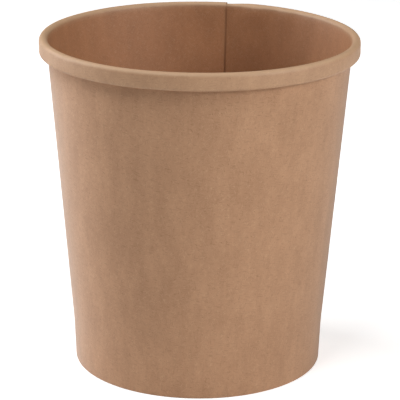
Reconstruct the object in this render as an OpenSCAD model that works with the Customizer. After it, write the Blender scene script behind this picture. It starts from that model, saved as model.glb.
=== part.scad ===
// Kraft paper soup bowl: a wrapped side wall, rolled over at the rim and turned up at the foot,
// and a base disc whose skirt is held in the turned-up hem. Millimetres, foot on z = 0.

/* [Bowl] */
// Outside diameter of the rolled rim
rim_d = 98; // [93:0.5:130]
// Height from the foot to the top of the rim
bowl_h = 103.5; // [50:0.5:150]
// Outside diameter of the wall at the foot
foot_d = 77.1; // [60:0.1:82]

/* [Board] */
// Thickness of the side wall's board
wall_t = 0.4; // [0.3:0.01:0.5]
// Thickness of the base's board
base_t = 0.38; // [0.3:0.01:0.5]
// Thickness of the sealing film between glued boards
film_t = 0.02; // [0.01:0.005:0.05]

/* [Rolled rim] */
// Height of the roll
rim_h = 5.3; // [4:0.1:7]
// Open radius left inside the lower curl where the board is doubled
curl_in = 0.12; // [0.05:0.01:0.6]
// Gap between the tucked edge and the doubled wall, at the roll's lower edge
tuck_gap = 0.35; // [0.3:0.01:0.6]
// Height of the tucked edge above the roll's lower edge
tuck_h = 2.4; // [1.4:0.1:3]

/* [Base and hem] */
// Height of the base's underside above the foot
base_up = 10.8; // [6:0.1:18]
// Inside radius of the bend between the base and its skirt
base_bend = 0.6; // [0.3:0.1:1.5]
// Lean of the wall between the foot and the base, as a share of the whole wall's
hem_share = 0.515; // [0.3:0.005:0.9]
// Radius of the wall's bend above the base, on its outer face
shoulder_r = 60; // [20:5:90]
// Height of that bend's middle above the base
shoulder_up = 1.05; // [0.5:0.05:5]
// Inside radius of the fold at the foot
fold_in = 0.08; // [0.05:0.01:0.15]
// Gap between the base's underside and the turned-up edge
hem_gap = 2.2; // [1.6:0.1:4]
// Gap between the skirt's edge and the doubled fold
skirt_gap = 0.4; // [0.2:0.1:2]
// Height over which the doubled fold is pressed flat
press_h = 3; // [2:0.5:5]

/* [Side seam] */
// Direction of the cut edge that the overlap covers, in degrees from +X
seam_a = 79.5; // [0:0.5:359.5]
// Width of the glued overlap, at the rim
lap_w = 7; // [4:0.5:12]
// Width of the ramp beside the overlap, at the rim
ramp_w = 2; // [1:0.1:4]

/* [Hidden] */

$fn = 180;
// Widest step along a bend of the board, in degrees
bend_step = 15;
// Angles round the seam are whole multiples of this, so that its layers end in one plane
seam_step_a = 0.1;
// Width of one step of the ramp beside the overlap, in degrees
ramp_step_a = 0.6;
kraft = "#b4875f";

half_t = wall_t / 2;
half_base_t = base_t / 2;
rim_r = rim_d / 2;
foot_r = foot_d / 2;

// Roll: radii are to the middle of the board
curl_r = 3 * half_t + curl_in;
rim_w = 2 * wall_t + tuck_gap + 2 * curl_r;
face_r = rim_r - half_t;
tuck_r = face_r - 2 * curl_r;
roll_z = bowl_h - rim_h;
curl_z = roll_z + half_t + curl_r;

// Wall's outer face: straight from the shoulder up to the roll
neck_r = rim_r - rim_w;
hem_lean = hem_share * atan((neck_r - foot_r) / roll_z);
shoulder_z = base_up + base_t + shoulder_up;
shoulder_x = foot_r + shoulder_z * tan(hem_lean);
wall_lean = atan((neck_r - shoulder_x) / (roll_z - shoulder_z));

// Crown: the arc that is tangent to the wall, the roll's top and its upright face
crown_across = (face_r - neck_r) * cos(wall_lean) + half_t;
crown_drop = (rim_h - half_t) * sin(wall_lean);
crown_r = (crown_across - crown_drop) / (1 + cos(wall_lean) - sin(wall_lean));
crown_z = bowl_h - half_t - crown_r;

// Shoulder: the arc that is tangent to the wall above it and the hem zone below it
shoulder_run = shoulder_r * tan((wall_lean - hem_lean) / 2);
shoulder_c = [shoulder_x, shoulder_z]
    + shoulder_run * [sin(wall_lean), cos(wall_lean)]
    + shoulder_r * [cos(wall_lean), -sin(wall_lean)];

// Foot: two quarter bends with a flat between them, as wide as the skirt needs
hem_out = [cos(hem_lean), -sin(hem_lean)];
fold_r = half_t + fold_in;
fold_z = fold_r + half_t;
fold_x = foot_r + fold_z * tan(hem_lean) - fold_z / cos(hem_lean);
fold_flat = (wall_t + base_t + 2 * film_t - 2 * fold_r) / cos(hem_lean);
hem_top = base_up - hem_gap;
flap_foot = [fold_x - fold_flat, fold_z] - fold_r * hem_out;
flap_x = flap_foot.x + (hem_top - flap_foot.y) * tan(hem_lean);

// Base: its skirt runs down the wall's inner face, a film's thickness away
skirt_in = (wall_t + film_t + half_base_t) / cos(hem_lean);
skirt_z = 2 * wall_t + skirt_gap;
skirt_end = [foot_r + skirt_z * tan(hem_lean) - skirt_in, skirt_z];
base_bend_r = base_bend + half_base_t;
base_bend_z = base_up - base_bend;
base_bend_x = foot_r + base_bend_z * tan(hem_lean) - skirt_in - base_bend_r / cos(hem_lean);

// Seam: widths at the rim as angles
function rim_angle(width) = width / rim_r * 180 / PI;
lap_a = round(rim_angle(lap_w) / seam_step_a) * seam_step_a;
ramp_steps = round(rim_angle(ramp_w) / ramp_step_a);

// Every bend of the side wall, from the tucked edge to the turned-up edge: its centre, the
// radius to the middle of the board, its first and last angle, and 1 where the bowl's outer
// face is on the outside of the bend or -1 where it is on the inside
bends = [
    [[face_r - curl_r, curl_z], curl_r, 180, 360, -1],
    [[face_r - crown_r, crown_z], crown_r, 0, 180 - wall_lean, -1],
    [shoulder_c, shoulder_r + half_t, 180 - wall_lean, 180 - hem_lean, -1],
    [[fold_x, fold_z], fold_r, -hem_lean, -90, 1],
    [[fold_x - fold_flat, fold_z], fold_r, -90, -180 - hem_lean, 1]
];

function arc(centre, r, from, to) =
    let (steps = max(3, ceil(abs(to - from) / bend_step)))
    [for (k = [0:steps]) let (a = from + (to - from) * k / steps) centre + r * [cos(a), sin(a)]];

// The line that runs along the board, a distance `out` from its middle towards its outer face
function board_line(out) = concat(
    [[tuck_r + out, roll_z + tuck_h]],
    [for (b = bends) each arc(b[0], b[1] + b[4] * out, b[2], b[3])],
    [[flap_x - out / cos(hem_lean), hem_top]]
);

// What would reach `over` below the foot is squeezed up to rest on it
function pressed(line, over) = [
    for (p = line)
        p.y > press_h ? p : [p.x, p.y + (press_h - p.y) * over / (press_h + over)]
];

function reversed(list) = [for (i = [len(list) - 1:-1:0]) list[i]];

// The section from a line `out` from the board's middle to its outer face, or to `over` past it
function section(out, over) =
    concat(board_line(out), reversed(pressed(board_line(half_t + over), over)));

module side_wall() {
    color(kraft) {
        rotate_extrude() polygon(section(-half_t, 0));
        // The overlap's outer layer, and the steps of the ramp up to it
        for (k = [0:ramp_steps]) {
            ramp_a = (ramp_steps - k) * ramp_step_a;
            over = min((k + 0.5) / ramp_steps, 1) * wall_t;
            rotate_extrude(start = seam_a - ramp_a, angle = ramp_a + lap_a)
                polygon(section(0, over));
        }
    }
}

module base_disc() {
    bend_c = [base_bend_x, base_bend_z];
    color(kraft)
        rotate_extrude()
            polygon(concat(
                [[0, base_up + base_t]],
                arc(bend_c, base_bend_r + half_base_t, 90, -hem_lean),
                [skirt_end + half_base_t * hem_out, skirt_end - half_base_t * hem_out],
                reversed(arc(bend_c, base_bend, 90, -hem_lean)),
                [[0, base_up]]
            ));
}

side_wall();
base_disc();
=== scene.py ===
"""Kraft soup bowl: the wrapped and rolled side wall, the drawn base disc, and a plain stage."""

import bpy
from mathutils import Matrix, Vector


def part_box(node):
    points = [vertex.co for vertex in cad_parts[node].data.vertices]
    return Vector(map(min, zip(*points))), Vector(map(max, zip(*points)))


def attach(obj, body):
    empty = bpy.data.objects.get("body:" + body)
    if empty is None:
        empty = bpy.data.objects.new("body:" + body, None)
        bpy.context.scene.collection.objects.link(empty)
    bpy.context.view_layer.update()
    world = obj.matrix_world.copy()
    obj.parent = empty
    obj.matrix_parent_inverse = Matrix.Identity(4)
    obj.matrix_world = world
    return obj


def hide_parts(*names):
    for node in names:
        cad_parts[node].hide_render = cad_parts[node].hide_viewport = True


bl_info = {
    "name": "Kraft Soup Bowl",
    "version": (1, 0, 0),
    "blender": (4, 5, 0),
    "location": "3D View > Sidebar > Soup Bowl",
    "description": "Builds a kraft board soup bowl from its wall blank and its base disc",
    "category": "Add Mesh",
}

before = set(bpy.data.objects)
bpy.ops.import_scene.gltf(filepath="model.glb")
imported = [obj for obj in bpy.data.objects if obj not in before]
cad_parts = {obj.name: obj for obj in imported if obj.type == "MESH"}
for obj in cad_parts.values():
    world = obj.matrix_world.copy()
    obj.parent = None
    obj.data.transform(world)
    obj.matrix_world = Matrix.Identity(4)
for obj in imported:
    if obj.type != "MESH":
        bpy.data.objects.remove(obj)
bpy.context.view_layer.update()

from math import atan, atan2, ceil, cos, exp, pi, radians, sin, tan, tau

import bmesh
import bpy
from bpy.props import FloatProperty, FloatVectorProperty, IntProperty, PointerProperty
from mathutils import Matrix, Vector

WALL_LOW, WALL_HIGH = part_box("side_wall")
BASE_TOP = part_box("base_disc")[1][2]
MM = 0.001
ORIGIN = (0, 0, 0)
UP = (0, 0, 1)
# the widest step along a bend of the board
BEND_STEP = radians(14)
# soft buckles below the crest: direction and spread, in radians, and share of the full depth
BUCKLES = ((1.16, 0.075, 1.0), (0.93, 0.06, 0.6), (0.74, 0.08, 0.4))
# softboxes: degrees to the right of the camera's side, degrees up, and width in metres
SOFTBOXES = {
    "edge": (-110, 12, 0.6),
    "back": (-110, 40, 0.6),
    "key": (50, 25, 0.3),
    "high": (65, 35, 0.3),
    "side": (75, 12, 0.6),
    "fill": (-30, 60, 0.3),
}
# what the softboxes and the camera are turned to
LIT_POINT = Vector((0, 0, 55)) * MM
CAMERA_AIM = Vector((0.44, 0, 50.68)) * MM


def linear(hex_code):
    """An sRGB hex colour as the linear red, green and blue that shaders take."""
    parts = [int(hex_code[i:i + 2], 16) / 255 for i in (1, 3, 5)]
    return tuple(c / 12.92 if c <= 0.04045 else ((c + 0.055) / 1.055) ** 2.4 for c in parts)


def length(name, description, default):
    """A length property, in metres."""
    return FloatProperty(
        name=name, description=description, default=default, min=0, unit="LENGTH", precision=5
    )


def angle(name, description, default):
    """An angle property, in radians."""
    return FloatProperty(name=name, description=description, default=default, subtype="ANGLE")


def watts(name, description, default):
    """A lamp's power, in watts."""
    return FloatProperty(name=name, description=description, default=default, min=0, unit="POWER")


def colour(name, description, hex_code):
    """A colour property, from an sRGB hex code."""
    return FloatVectorProperty(
        name=name, description=description, default=linear(hex_code),
        subtype="COLOR", size=3, min=0, max=1,
    )


class BowlSizes(bpy.types.PropertyGroup):
    """The bowl's driving sizes, as in the frame"""

    rim_width: length("Rim", "Outside diameter of the rolled rim", WALL_HIGH[0] - WALL_LOW[0])
    height: length("Height", "Foot to the top of the rim", WALL_HIGH[2])
    foot_width: length("Foot", "Outside diameter of the wall at the foot", 77.1 * MM)
    board: length("Wall Board", "Thickness of the wall's board", 0.4 * MM)
    base_board: length("Base Board", "Thickness of the base's board", 0.38 * MM)
    film: length("Film", "Sealing film between glued boards", 0.02 * MM)
    roll_height: length("Roll Height", "Height of the rolled rim", 5.3 * MM)
    curl_inside: length("Curl Inside", "Open radius in the lower curl at the lap", 0.12 * MM)
    tuck_gap: length("Tuck Gap", "Gap between the tucked edge and the wall", 0.35 * MM)
    tuck_height: length("Tuck Height", "Tucked edge above the roll's lower edge", 2.4 * MM)
    base_bend: length("Base Bend", "Inside radius of the bend at the base's edge", 0.6 * MM)
    hem_share: FloatProperty(
        name="Hem Share", description="Lean of the wall below the base, as a share of the whole",
        default=0.515, min=0, max=1, subtype="FACTOR",
    )
    shoulder: length("Shoulder", "Radius of the wall's bend above the base", 60 * MM)
    shoulder_rise: length("Shoulder Rise", "That bend above the base", 1.05 * MM)
    fold_inside: length("Fold Inside", "Inside radius of the fold at the foot", 0.08 * MM)
    hem_gap: length("Hem Gap", "Base's underside to the turned-up edge", 2.2 * MM)
    skirt_gap: length("Skirt Gap", "Skirt's edge to the doubled fold", 0.4 * MM)
    press_height: length("Press Height", "Where the doubled hem starts to be pressed", 3 * MM)
    seam: angle("Seam", "Direction of the seam's inner edge", radians(79.5))
    lap: length("Lap", "Width of the glued overlap at the rim", 7 * MM)
    ramp: length("Ramp", "Width of the step out beside the overlap", 9 * MM)


class BowlFinish(bpy.types.PropertyGroup):
    """What handling and forming leave on the board, its colours, and the painted sheen on its roll
    """

    wall_waves: length("Wall Waves", "How far the wall wanders from a true cone", 0.22 * MM)
    rim_waves: length("Rim Waves", "How far the crest dips and rises", 0.10 * MM)
    buckle: length("Buckle", "Depth of the soft buckles below the crest", 0.8 * MM)
    dish: length("Dish", "How far the base's middle sags", 0.25 * MM)
    knurl: length("Knurl", "Depth of the ridges rolled into the hem", 0.09 * MM)
    columns: IntProperty(
        name="Columns", description="Steps round the bowl, two to a ridge", default=320, min=32
    )
    kraft: colour("Kraft", "Uncoated kraft board", "#C19573")
    # also the colour of the seam's dark line, which is partly glue and partly painted shade
    kraft_dark: colour("Dark Fibre", "Unbleached fibre bundles", "#80583A")
    # also the colour of the painted highlight along the rim's crest
    kraft_light: colour("Light Fibre", "Long pale fibres", "#D9B592")
    lined: colour("Lined Kraft", "Kraft board under its clear lining", "#B7825C")
    # painted sheen: the paler colour that the lined board is painted on the roll, standing in for
    # the lining's sheen
    roll_painted_sheen: colour("Stretched Kraft", "Lined board that the roll's curl has paled", "#BE9572")
    edge: colour("Cut Edge", "Middle plies, seen where the board is cut", "#A57E5C")


class StageSettings(bpy.types.PropertyGroup):
    """The camera and the softboxes"""

    lens: FloatProperty(name="Lens", description="Focal length in mm", default=182.8, min=20)
    distance: length("Distance", "Camera to the point it looks at", 633.9 * MM)
    elevation: angle("Elevation", "How far the camera looks down", radians(17.75))
    roll: angle("Roll", "Turn of the camera about its view", radians(0.472))
    edge_power: watts("Edge Softbox", "Low and large, left of the bowl and a little behind", 4.9)
    back_power: watts("Back Softbox", "High and large, left of the bowl and a little behind", 4.5)
    key_power: watts("Key Softbox", "Small, right of the camera", 3.0)
    high_power: watts("High Softbox", "Small, further right and higher than the key", 1.6)
    side_power: watts("Side Softbox", "Low and large, right of the bowl", 1.5)
    fill_power: watts("Fill Softbox", "High and small, left of the camera", 3.1)


def eased(u):
    """A smooth step from 0 to 1."""
    u = min(max(u, 0), 1)
    return u * u * (3 - 2 * u)


def curl_radius(s):
    """The radius of the roll's lower curl, to the middle of the board."""
    return 1.5 * s.board + s.curl_inside


def neck_radius(s):
    """The wall's outer radius where it meets the roll."""
    return s.rim_width / 2 - 2 * s.board - s.tuck_gap - 2 * curl_radius(s)


def hem_lean(s):
    """The lean of the wall between the foot and the base."""
    return s.hem_share * atan((neck_radius(s) - s.foot_width / 2) / (s.height - s.roll_height))


def wall_outline(s):
    """The wall board's middle line from the tucked edge to the turned-up edge, as corners
    (x, z) with the radius of the bend at each."""
    half = s.board / 2
    foot = s.foot_width / 2
    curl = curl_radius(s)
    face = s.rim_width / 2 - half
    roll_bottom = s.height - s.roll_height
    base_bottom = BASE_TOP - s.base_board
    hem = hem_lean(s)
    shoulder_z = BASE_TOP + s.shoulder_rise
    shoulder_x = foot + shoulder_z * tan(hem)
    neck = neck_radius(s)
    lean = atan((neck - shoulder_x) / (roll_bottom - shoulder_z))

    # the crown's radius makes it tangent to the wall, to the roll's top and to its upright face
    across = (face - neck) * cos(lean) + half
    drop = (s.roll_height - half) * sin(lean)
    crown = (across - drop) / (1 + cos(lean) - sin(lean))

    # the wall's and the hem's middle lines lie half a board inside their outer faces
    top = s.height - half
    wall_x = shoulder_x - half / cos(lean)
    hem_x = foot - half / cos(hem)
    kink_z = (wall_x - shoulder_z * tan(lean) - hem_x) / (tan(hem) - tan(lean))
    flap_x = hem_x - (s.board + s.base_board + 2 * s.film) / cos(hem)
    fold = half + s.fold_inside
    hem_top = base_bottom - s.hem_gap

    return [
        (face - 2 * curl, roll_bottom + s.tuck_height, 0),
        (face - 2 * curl, roll_bottom + half, curl),
        (face, roll_bottom + half, curl),
        (face, top, crown),
        (wall_x + (top - shoulder_z) * tan(lean), top, crown),
        (hem_x + kink_z * tan(hem), kink_z, s.shoulder + half),
        (hem_x + half * tan(hem), half, fold),
        (flap_x + half * tan(hem), half, fold),
        (flap_x + hem_top * tan(hem), hem_top, 0),
    ]


def base_outline(s):
    """The base board's middle line, from the bowl's axis to the skirt's edge."""
    half = s.base_board / 2
    lean = hem_lean(s)
    skirt_x = s.foot_width / 2 - (s.board + s.film + half) / cos(lean)
    middle = BASE_TOP - half
    skirt_end = 2 * s.board + s.skirt_gap
    return [
        (0, middle, 0),
        (skirt_x + middle * tan(lean), middle, s.base_bend + half),
        (skirt_x + skirt_end * tan(lean), skirt_end, 0),
    ]


def rounded_line(bm, outline, row):
    """Adds an outline's corners to the mesh, rounds each to its radius, cuts its long straights
    into rows, and stores how far along the line each vertex lies."""
    verts = [bm.verts.new((x, 0, z)) for x, z, _ in outline]
    for pair in zip(verts, verts[1:]):
        bm.edges.new(pair)
    for i in range(1, len(outline) - 1):
        before = (verts[i].co - Vector((outline[i - 1][0], 0, outline[i - 1][1]))).normalized()
        after = (Vector((outline[i + 1][0], 0, outline[i + 1][1])) - verts[i].co).normalized()
        turn = before.angle(after)
        bmesh.ops.bevel(
            bm, geom=[verts[i]], offset=outline[i][2] * tan(turn / 2), offset_type="OFFSET",
            segments=max(3, ceil(turn / BEND_STEP)), profile=0.5, affect="VERTICES", material=-1,
        )
    bmesh.ops.remove_doubles(bm, verts=bm.verts, dist=1e-7)
    for edge in [e for e in bm.edges if e.calc_length() > row]:
        bmesh.ops.subdivide_edges(bm, edges=[edge], cuts=int(edge.calc_length() / row))
    store_lengths(bm, Vector((outline[0][0], 0, outline[0][1])))


def store_lengths(bm, start):
    """Walks the line from its start and stores each vertex's distance along it."""
    along = bm.verts.layers.float.new("along")
    vert = min(bm.verts, key=lambda v: (v.co - start).length)
    walked, seen = 0, set()
    while vert:
        vert[along] = walked
        seen.add(vert)
        onward = [e for e in vert.link_edges if e.other_vert(vert) not in seen]
        walked += onward[0].calc_length() if onward else 0
        vert = onward[0].other_vert(vert) if onward else None


def spin_board(bm, stretches):
    """Spins the line through each (angle, steps) stretch in turn and stores every vertex's turn."""
    turned = bm.verts.layers.float.new("turned")
    start, geom = 0, bm.verts[:] + bm.edges[:]
    for sweep, steps in stretches:
        old = set(bm.verts)
        spun = bmesh.ops.spin(
            bm, geom=geom, cent=ORIGIN, axis=UP, dvec=ORIGIN, angle=sweep, steps=steps,
            use_merge=False, use_normal_flip=False, use_duplicate=False,
        )
        geom = spun["geom_last"]
        # the half step keeps a vertex a hair before the start from being a full turn past it
        for vert in bm.verts:
            if vert not in old:
                lag = (atan2(vert.co.y, vert.co.x) - start + sweep / steps / 2) % tau
                vert[turned] = start + lag - sweep / steps / 2
        start += sweep
    bmesh.ops.recalc_face_normals(bm, faces=bm.faces)


def store_uv(bm, place):
    """Lays the board out flat in metres, so that its fibres keep their real size."""
    layer = bm.loops.layers.uv.new("board")
    for face in bm.faces:
        for loop in face.loops:
            loop[layer].uv = place(loop.vert)


def board_piece(context, name, bm, thickness, materials):
    """Makes the sheet an object, gives it the board's thickness about its middle, and keeps the
    cut edges crisp. The materials are those of its lined face, its bare face and its cut edge."""
    mesh = bpy.data.meshes.new(name)
    bm.to_mesh(mesh)
    bm.free()
    for material in materials:
        mesh.materials.append(material)
    piece = bpy.data.objects.new(name, mesh)
    context.scene.collection.objects.link(piece)
    board = piece.modifiers.new("board", "SOLIDIFY")
    board.thickness = thickness
    board.offset = 0
    board.use_even_offset = True
    board.material_offset = 1
    board.material_offset_rim = 2
    solid = piece.evaluated_get(context.evaluated_depsgraph_get())
    piece.data = bpy.data.meshes.new_from_object(solid)
    piece.modifiers.clear()
    piece.data.name = name
    piece.data.shade_smooth()
    piece.data.set_sharp_from_angle(angle=radians(50))
    return piece


def add(tree, kind, inputs=(), **settings):
    """Adds a node with its settings, and gives its inputs values or links."""
    made = tree.nodes.new(kind)
    for key, value in settings.items():
        setattr(made, key, value)
    for key, value in dict(inputs).items():
        if isinstance(value, bpy.types.NodeSocket):
            tree.links.new(value, made.inputs[key])
        else:
            made.inputs[key].default_value = value
    return made


def new_material(name):
    """An empty node material and its tree, with the principled shader wired to the output."""
    material = bpy.data.materials.new(name)
    material.use_nodes = True
    tree = material.node_tree
    tree.nodes.clear()
    shader = add(tree, "ShaderNodeBsdfPrincipled")
    add(tree, "ShaderNodeOutputMaterial", {"Surface": shader.outputs[0]})
    return material, tree, shader


def fibres(tree, uv, turn, size, share):
    """A mask of fibres that lie one way: `size` is their length and width in metres, and `share`
    is how much of the noise counts as fibre."""
    fibre_length, fibre_width = size
    laid = add(tree, "ShaderNodeMapping", {
        "Vector": uv, "Rotation": (0, 0, turn), "Scale": (fibre_length, fibre_width, 1),
    }, vector_type="TEXTURE")
    noise = add(tree, "ShaderNodeTexNoise", {
        "Vector": laid.outputs[0], "Scale": 1, "Detail": 1, "Roughness": 0.4, "Distortion": 0.3,
    }, noise_dimensions="2D")
    mask = add(tree, "ShaderNodeMapRange", {
        "Value": noise.outputs[0], "From Min": 1 - share, "From Max": 1 - share + 0.14,
    }, interpolation_type="SMOOTHSTEP")
    return mask.outputs[0]


def tinted(tree, base, tint, mask, strength):
    """The base colour with a tint laid over it where the mask is high. A colour Mix node takes
    its factor at 0 and its colours at 6 and 7, and gives its result at 2."""
    weight = add(tree, "ShaderNodeMath", {0: mask, 1: strength}, operation="MULTIPLY")
    mixed = add(tree, "ShaderNodeMix", {0: weight.outputs[0], 6: base, 7: tint}, data_type="RGBA")
    return mixed.outputs[2]


def rgba(value):
    """A colour property as the four numbers that a colour socket takes."""
    return (*value, 1)


def kraft_pattern(tree, uv, finish, ground, strength):
    """Kraft board's colour and relief, over a ground colour: cloudy formation 8 mm wide and drawn
    out along the machine's way, which runs up the wall, dark and pale fibre bundles lying every
    way, and a fine tooth. A real fibre is 0.03 mm wide, so bundles of 0.2 to 0.3 mm are drawn,
    which is as fine as the render can show. Returns a colour and a height."""
    drawn_out = add(tree, "ShaderNodeMapping", {"Vector": uv, "Scale": (8 * MM, 18 * MM, 1)},
                    vector_type="TEXTURE")
    clouds = add(tree, "ShaderNodeTexNoise", {
        "Vector": drawn_out.outputs[0], "Scale": 1, "Detail": 4, "Roughness": 0.7,
    }, noise_dimensions="2D")
    cloudy = add(tree, "ShaderNodeMapRange", {
        "Value": clouds.outputs[0], "From Min": 0.3, "From Max": 0.7,
    })
    tooth = add(tree, "ShaderNodeTexNoise", {
        "Vector": uv, "Scale": 1 / (0.35 * MM), "Detail": 2, "Roughness": 0.6,
    }, noise_dimensions="2D")
    dark = rgba(finish.kraft_dark)
    light = rgba(finish.kraft_light)
    colour_now = tinted(tree, ground, dark, cloudy.outputs[0], 0.26)
    height = tooth.outputs[0]
    # turn, a bundle's length and width, share of the noise, tint and weight
    lay = (
        (0.15, (2.6 * MM, 0.24 * MM), 0.40, dark, 0.34),
        (1.05, (1.8 * MM, 0.20 * MM), 0.38, light, 0.36),
        (1.75, (3.2 * MM, 0.28 * MM), 0.36, dark, 0.28),
        (2.55, (2.2 * MM, 0.22 * MM), 0.38, light, 0.32),
        (0.70, (0.9 * MM, 0.32 * MM), 0.31, dark, 0.56),
    )
    for turn, size, share, tint, weight in lay:
        mask = fibres(tree, uv, turn, size, share)
        colour_now = tinted(tree, colour_now, tint, mask, weight * strength)
        height = add(tree, "ShaderNodeMath", {0: mask, 1: 0.35, 2: height},
                     operation="MULTIPLY_ADD").outputs[0]
    return colour_now, height


def bare_kraft(finish):
    """Unbleached kraft cup board, machine made and left uncoated: warm brown, matt, with cloudy
    formation and fibre bundles that the eye reads as paper."""
    material, tree, shader = new_material("kraft_board_bare")
    uv = add(tree, "ShaderNodeUVMap", uv_map="board").outputs[0]
    colour_now, height = kraft_pattern(tree, uv, finish, rgba(finish.kraft), 0.75)
    relief = add(tree, "ShaderNodeBump", {
        "Height": height, "Strength": 0.35, "Distance": 0.03 * MM,
    })
    tree.links.new(colour_now, shader.inputs["Base Color"])
    tree.links.new(relief.outputs[0], shader.inputs["Normal"])
    shader.inputs["Roughness"].default_value = 0.88
    shader.inputs["IOR"].default_value = 1.47
    shader.inputs["Specular IOR Level"].default_value = 0.35
    shader.inputs["Sheen Weight"].default_value = 0.5
    shader.inputs["Sheen Roughness"].default_value = 0.4
    return material


def lined_kraft(finish, girth, crest):
    """The same board under an extruded clear lining: deeper and warmer, with its fibres softened
    and a dull satin sheen. On the roll it is painted paler as painted sheen, with a painted
    highlight at the crest, which lies `crest` along the board. Below the roll, the seam's cut
    edge is darkened, partly by adhesive and partly as painted shade, at 0 and at `girth` round it."""
    material, tree, shader = new_material("kraft_board_lined")
    uv = add(tree, "ShaderNodeUVMap", uv_map="board").outputs[0]
    place = add(tree, "ShaderNodeSeparateXYZ", {0: uv})
    unrolled = add(tree, "ShaderNodeMapRange", {
        "Value": place.outputs["Y"], "From Min": crest + 1.0 * MM, "From Max": crest + 3.0 * MM,
    }, interpolation_type="SMOOTHSTEP")
    # painted sheen: the board is painted in the paler roll colour up to 1 mm past the crest, and in
    # the lined colour from 3 mm past it
    ground = tinted(tree, rgba(finish.roll_painted_sheen), rgba(finish.lined), unrolled.outputs[0], 1)
    colour_now, height = kraft_pattern(tree, uv, finish, ground, 0.55)
    past_crest = add(tree, "ShaderNodeMath", {0: place.outputs["Y"], 1: crest},
                     operation="SUBTRACT")
    from_crest = add(tree, "ShaderNodeMath", {0: past_crest.outputs[0]}, operation="ABSOLUTE")
    # painted highlight: the board within 0.6 to 1.8 mm of the crest is painted paler, in the pale
    # fibre colour
    crest_highlight = add(tree, "ShaderNodeMapRange", {
        "Value": from_crest.outputs[0], "From Min": 0.6 * MM, "From Max": 1.8 * MM,
        "To Min": 1, "To Max": 0,
    }, interpolation_type="SMOOTHSTEP")
    colour_now = tinted(tree, colour_now, rgba(finish.kraft_light), crest_highlight.outputs[0], 0.6)
    # partly a glue line and partly painted shade: the board is darkened within 0.15 to 0.5 mm of
    # the seam's cut edge, below the roll
    from_edge = add(tree, "ShaderNodeMath", {0: place.outputs["X"], 1: girth / 2},
                    operation="PINGPONG")
    glue_and_shade = add(tree, "ShaderNodeMapRange", {
        "Value": from_edge.outputs[0], "From Min": 0.15 * MM, "From Max": 0.5 * MM,
        "To Min": 1, "To Max": 0,
    }, interpolation_type="SMOOTHSTEP")
    below_roll = add(tree, "ShaderNodeMath", {0: glue_and_shade.outputs[0], 1: unrolled.outputs[0]},
                     operation="MULTIPLY")
    colour_now = tinted(tree, colour_now, rgba(finish.kraft_dark), below_roll.outputs[0], 0.6)
    relief = add(tree, "ShaderNodeBump", {
        "Height": height, "Strength": 0.3, "Distance": 0.02 * MM,
    })
    tree.links.new(colour_now, shader.inputs["Base Color"])
    tree.links.new(relief.outputs[0], shader.inputs["Normal"])
    shader.inputs["Roughness"].default_value = 0.55
    shader.inputs["IOR"].default_value = 1.5
    return material


def cut_edge(finish):
    """Die-cut board, seen edge on: rough, dull plies, drawn 0.12 mm thick."""
    material, tree, shader = new_material("kraft_board_cut_edge")
    place = add(tree, "ShaderNodeTexCoord").outputs["Object"]
    plies = add(tree, "ShaderNodeTexNoise", {
        "Vector": place, "Scale": 1 / (0.12 * MM), "Detail": 3, "Roughness": 0.7,
    })
    colour_now = tinted(
        tree, rgba(finish.edge), rgba(finish.kraft_dark), plies.outputs[0], 0.6
    )
    relief = add(tree, "ShaderNodeBump", {
        "Height": plies.outputs[0], "Strength": 0.6, "Distance": 0.05 * MM,
    })
    tree.links.new(colour_now, shader.inputs["Base Color"])
    tree.links.new(relief.outputs[0], shader.inputs["Normal"])
    shader.inputs["Roughness"].default_value = 0.95
    return material


def settle_seam(bm, s, lap, ramp):
    """Steps the sheet out by a board where it runs over its own start, and presses the doubled
    fold up, so that both layers stay on the foot's plane."""
    turned = bm.verts.layers.float["turned"]
    bm.normal_update()
    hem_way = Vector((sin(hem_lean(s)), 0, cos(hem_lean(s))))
    outward = 1 if outward_normals(bm) else -1
    step = s.board + s.film
    moves = []
    for vert in bm.verts:
        turn = vert[turned]
        over = eased((turn - (tau - ramp)) / ramp)
        doubled = max(over, eased((lap + ramp - turn) / ramp))
        pressed = min(max((s.press_height - vert.co.z) / (s.press_height - s.board / 2), 0), 1)
        way = Matrix.Rotation(turn, 3, "Z") @ hem_way
        moves.append((vert, outward * over * step * vert.normal + step * doubled * pressed * way))
    for vert, move in moves:
        vert.co += move


def outward_normals(bm):
    """Whether the normals half way up the wall point away from the bowl's axis."""
    half_way = WALL_HIGH[2] / 2
    middle = min(bm.faces, key=lambda f: abs(f.calc_center_median().z - half_way))
    return middle.normal.dot(middle.calc_center_median()) > 0


def unsettle_wall(bm, s, finish):
    """Gives the wall the slight wander of formed board: long waves that grow towards the rim, a
    crest that isn't quite level, and soft buckles inside the far side of the rim."""
    neck = s.height - s.roll_height
    for vert in bm.verts:
        place = vert.co
        turn = atan2(place.y, place.x)
        rise = eased((place.z - BASE_TOP - 4 * MM) / (s.height - BASE_TOP))
        # from 0 to 1, as the crest's level is, so that the wall only moves inwards and down
        wave = (2 + sin(3 * turn + 0.6) + 0.6 * sin(5 * turn + 2.1 + place.z / (60 * MM))
                + 0.4 * sin(8 * turn + 4.0)) / 4
        inwards = finish.wall_waves * rise * wave
        # the buckles are deepest 3.4 mm above the roll's lower edge, on the side facing the bowl
        near_rim = exp(-((place.z - neck - 3.4 * MM) / (3.2 * MM)) ** 2)
        inner = eased((s.rim_width / 2 - 1.2 * MM - place.to_2d().length) / (1.4 * MM))
        for middle, spread, share in BUCKLES:
            inwards += finish.buckle * share * near_rim * inner * exp(
                -((turn - middle) / spread) ** 2
            )
        vert.co.xy *= 1 - inwards / max(place.to_2d().length, MM)
        level = (2 + sin(2 * turn + 1.1) + sin(7 * turn + 3.0)) / 4
        vert.co.z -= finish.rim_waves * eased((place.z - neck) / s.roll_height) * level


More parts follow.
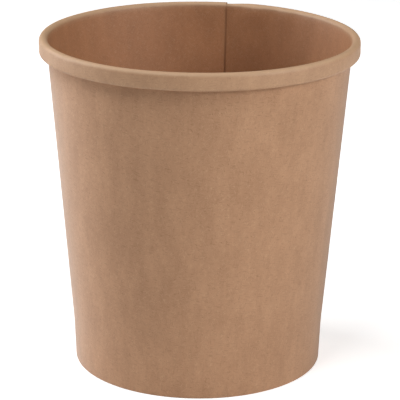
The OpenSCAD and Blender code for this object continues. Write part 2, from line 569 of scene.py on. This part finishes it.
def knurl_flap(bm, s, finish, flap_start, column):
    """Rolls upright ridges into the turned-up hem, one to every two columns."""
    along = bm.verts.layers.float["along"]
    turned = bm.verts.layers.float["turned"]
    for vert in bm.verts:
        depth = eased((vert[along] - flap_start) / (0.8 * MM))
        # the ridges fade out towards the lap from both sides
        fade = eased(vert[turned] / 0.05) * eased((tau - 0.1 - vert[turned]) / 0.05)
        ridge = (1 + cos(pi * vert[turned] / column)) / 2
        radius = vert.co.to_2d().length
        vert.co.xy *= 1 - finish.knurl * depth * fade * ridge / radius


class BOWL_OT_side_wall(bpy.types.Operator):
    """Wrap the wall blank, roll its rim, turn up its hem and lap its seam"""

    bl_idname = "bowl.side_wall"
    bl_label = "Side Wall"

    def execute(self, context):
        s, finish = context.scene.bowl_sizes, context.scene.bowl_finish
        outline = wall_outline(s)
        lap = s.lap / (s.rim_width / 2)
        ramp = s.ramp / (s.rim_width / 2)
        column = (tau - ramp) / finish.columns
        bm = bmesh.new()
        rounded_line(bm, outline, row=3.2 * MM)
        along = bm.verts.layers.float["along"]
        line_end = max(vert[along] for vert in bm.verts)
        # the ridges start a little above the fold, where the turned-up flap is straight
        flap_start = line_end - (outline[-1][1] - outline[-2][1]) + 1.2 * MM
        crest = max(bm.verts, key=lambda vert: vert.co.z)[along]
        spin_board(bm, ((tau - ramp, finish.columns), (ramp, 12), (lap, 8)))
        knurl_flap(bm, s, finish, flap_start, column)
        settle_seam(bm, s, lap, ramp)
        turned = bm.verts.layers.float["turned"]
        store_uv(bm, lambda vert: (vert[turned] * s.rim_width / 2, vert[along]))
        if outward_normals(bm):
            bmesh.ops.reverse_faces(bm, faces=bm.faces)
        bmesh.ops.rotate(
            bm, verts=bm.verts, cent=ORIGIN, matrix=Matrix.Rotation(s.seam, 3, "Z")
        )
        unsettle_wall(bm, s, finish)
        lined = lined_kraft(finish, pi * s.rim_width, crest)
        materials = [lined, bare_kraft(finish), cut_edge(finish)]
        piece = board_piece(context, "wall_sheet", bm, s.board, materials)
        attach(piece, "root")
        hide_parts("side_wall")
        return {"FINISHED"}


class BOWL_OT_base_disc(bpy.types.Operator):
    """Draw the base blank down into its skirt"""

    bl_idname = "bowl.base_disc"
    bl_label = "Base Disc"

    def execute(self, context):
        s, finish = context.scene.bowl_sizes, context.scene.bowl_finish
        outline = base_outline(s)
        bm = bmesh.new()
        rounded_line(bm, outline, row=3 * MM)
        bmesh.ops.spin(
            bm, geom=bm.verts[:] + bm.edges[:], cent=ORIGIN, axis=UP, dvec=ORIGIN, angle=tau,
            steps=finish.columns // 2, use_merge=True, use_normal_flip=False, use_duplicate=False,
        )
        bmesh.ops.remove_doubles(bm, verts=bm.verts, dist=1e-6)
        bmesh.ops.recalc_face_normals(bm, faces=bm.faces)
        edge = outline[1][0] - s.base_bend
        for vert in bm.verts:
            vert.co.z -= finish.dish * eased(1 - vert.co.to_2d().length / edge)
        # clear of the places where the lined material is painted paler on the roll and its crest,
        # as painted sheen and highlight, or darkened at the seam, partly by glue and partly as
        # painted shade
        corner = Vector((1, 1)) * s.rim_width
        store_uv(bm, lambda vert: vert.co.to_2d() + corner)
        top = min(bm.faces, key=lambda f: f.calc_center_median().to_2d().length)
        if top.normal.z < 0:
            bmesh.ops.reverse_faces(bm, faces=bm.faces)
        materials = [
            bpy.data.materials[name]
            for name in ("kraft_board_lined", "kraft_board_bare", "kraft_board_cut_edge")
        ]
        piece = board_piece(context, "base_sheet", bm, s.base_board, materials)
        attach(piece, "root")
        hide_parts("base_disc")
        return {"FINISHED"}


def floor_material():
    """A plain white table: matt, and lifted to white where the camera sees it lit, so that the
    page is white and the bowl's shadow stays."""
    material, tree, shader = new_material("table_matt_white")
    rays = add(tree, "ShaderNodeLightPath")
    seen = add(tree, "ShaderNodeMath", {
        0: rays.outputs["Is Camera Ray"], 1: rays.outputs["Is Glossy Ray"],
    }, operation="MAXIMUM")
    seen = add(tree, "ShaderNodeMath", {
        0: seen.outputs[0], 1: rays.outputs["Is Transmission Ray"],
    }, operation="MAXIMUM")
    lift = add(tree, "ShaderNodeMath", {0: seen.outputs[0], 1: 0.55}, operation="MULTIPLY")
    shader.inputs["Base Color"].default_value = (0.9, 0.9, 0.9, 1)
    shader.inputs["Roughness"].default_value = 1
    shader.inputs["Specular IOR Level"].default_value = 0
    shader.inputs["Emission Color"].default_value = (1, 1, 1, 1)
    tree.links.new(lift.outputs[0], shader.inputs["Emission Strength"])
    return material


def white_world():
    """A world that is white where the camera sees it, straight or through glass, and gives no
    light."""
    world = bpy.data.worlds.new("white_tent")
    world.use_nodes = True
    tree = world.node_tree
    tree.nodes.clear()
    rays = add(tree, "ShaderNodeLightPath")
    seen = add(tree, "ShaderNodeMath", {
        0: rays.outputs["Is Camera Ray"], 1: rays.outputs["Is Transmission Ray"],
    }, operation="MAXIMUM")
    sky = add(tree, "ShaderNodeBackground", {0: (1, 1, 1, 1), 1: seen.outputs[0]})
    add(tree, "ShaderNodeOutputWorld", {0: sky.outputs[0]})
    return world


def softbox(context, name, azimuth, elevation, size, power):
    """A square area light a metre from the bowl's middle, turned to it. Azimuth runs from the
    camera's side towards the right of the picture, in degrees."""
    turn = Matrix.Rotation(radians(azimuth), 3, "Z") @ Matrix.Rotation(-radians(elevation), 3, "X")
    data = bpy.data.lights.new(name, "AREA")
    data.size = size
    data.energy = power
    lamp = bpy.data.objects.new(name, data)
    way = turn @ Vector((0, -1, 0))
    lamp.location = LIT_POINT + way
    lamp.rotation_euler = way.to_track_quat("Z", "Y").to_euler()
    context.scene.collection.objects.link(lamp)


class BOWL_OT_stage(bpy.types.Operator):
    """Add the table, the softboxes and the camera"""

    bl_idname = "bowl.stage"
    bl_label = "Stage"

    def execute(self, context):
        stage, scene = context.scene.bowl_stage, context.scene
        bm = bmesh.new()
        bmesh.ops.create_grid(bm, x_segments=1, y_segments=1, size=4)
        mesh = bpy.data.meshes.new("table")
        bm.to_mesh(mesh)
        bm.free()
        mesh.materials.append(floor_material())
        table = bpy.data.objects.new("table", mesh)
        scene.collection.objects.link(table)

        for name, place in SOFTBOXES.items():
            softbox(context, f"{name}_softbox", *place, getattr(stage, f"{name}_power"))
        scene.world = white_world()
        scene.view_settings.view_transform = "Standard"

        data = bpy.data.cameras.new("camera")
        data.lens = stage.lens
        data.clip_start = 0.01
        camera = bpy.data.objects.new("camera", data)
        back = Vector((0, -cos(stage.elevation), sin(stage.elevation)))
        turn = Matrix.Rotation(pi / 2 - stage.elevation, 4, "X")
        roll = Matrix.Rotation(stage.roll, 4, "Z")
        camera.matrix_world = Matrix.Translation(CAMERA_AIM + stage.distance * back) @ turn @ roll
        scene.collection.objects.link(camera)
        scene.camera = camera
        return {"FINISHED"}


class BOWL_PT_sidebar(bpy.types.Panel):
    """The bowl's sizes, finish and stage, with the steps that build it"""

    bl_idname = "BOWL_PT_sidebar"
    bl_label = "Soup Bowl"
    bl_space_type = "VIEW_3D"
    bl_region_type = "UI"
    bl_category = "Soup Bowl"

    def draw(self, context):
        layout = self.layout
        for group in ("bowl_sizes", "bowl_finish", "bowl_stage"):
            box = layout.box()
            values = getattr(context.scene, group)
            for name in values.__annotations__:
                box.prop(values, name)
        for step in STEPS:
            layout.operator(step.bl_idname)


STEPS = (BOWL_OT_side_wall, BOWL_OT_base_disc, BOWL_OT_stage)
GROUPS = {"bowl_sizes": BowlSizes, "bowl_finish": BowlFinish, "bowl_stage": StageSettings}


def register():
    """Adds the classes to Blender, and their settings to the scene."""
    for cls in (*GROUPS.values(), *STEPS, BOWL_PT_sidebar):
        bpy.utils.register_class(cls)
    for name, group in GROUPS.items():
        setattr(bpy.types.Scene, name, PointerProperty(type=group))


def unregister():
    """Takes the settings and the classes out again."""
    for name in GROUPS:
        delattr(bpy.types.Scene, name)
    for cls in (BOWL_PT_sidebar, *reversed(STEPS), *reversed(GROUPS.values())):
        bpy.utils.unregister_class(cls)


def main():
    """Builds the bowl and its stage."""
    register()
    bpy.ops.bowl.side_wall()
    bpy.ops.bowl.base_disc()
    bpy.ops.bowl.stage()


if __name__ == "__main__":
    main()
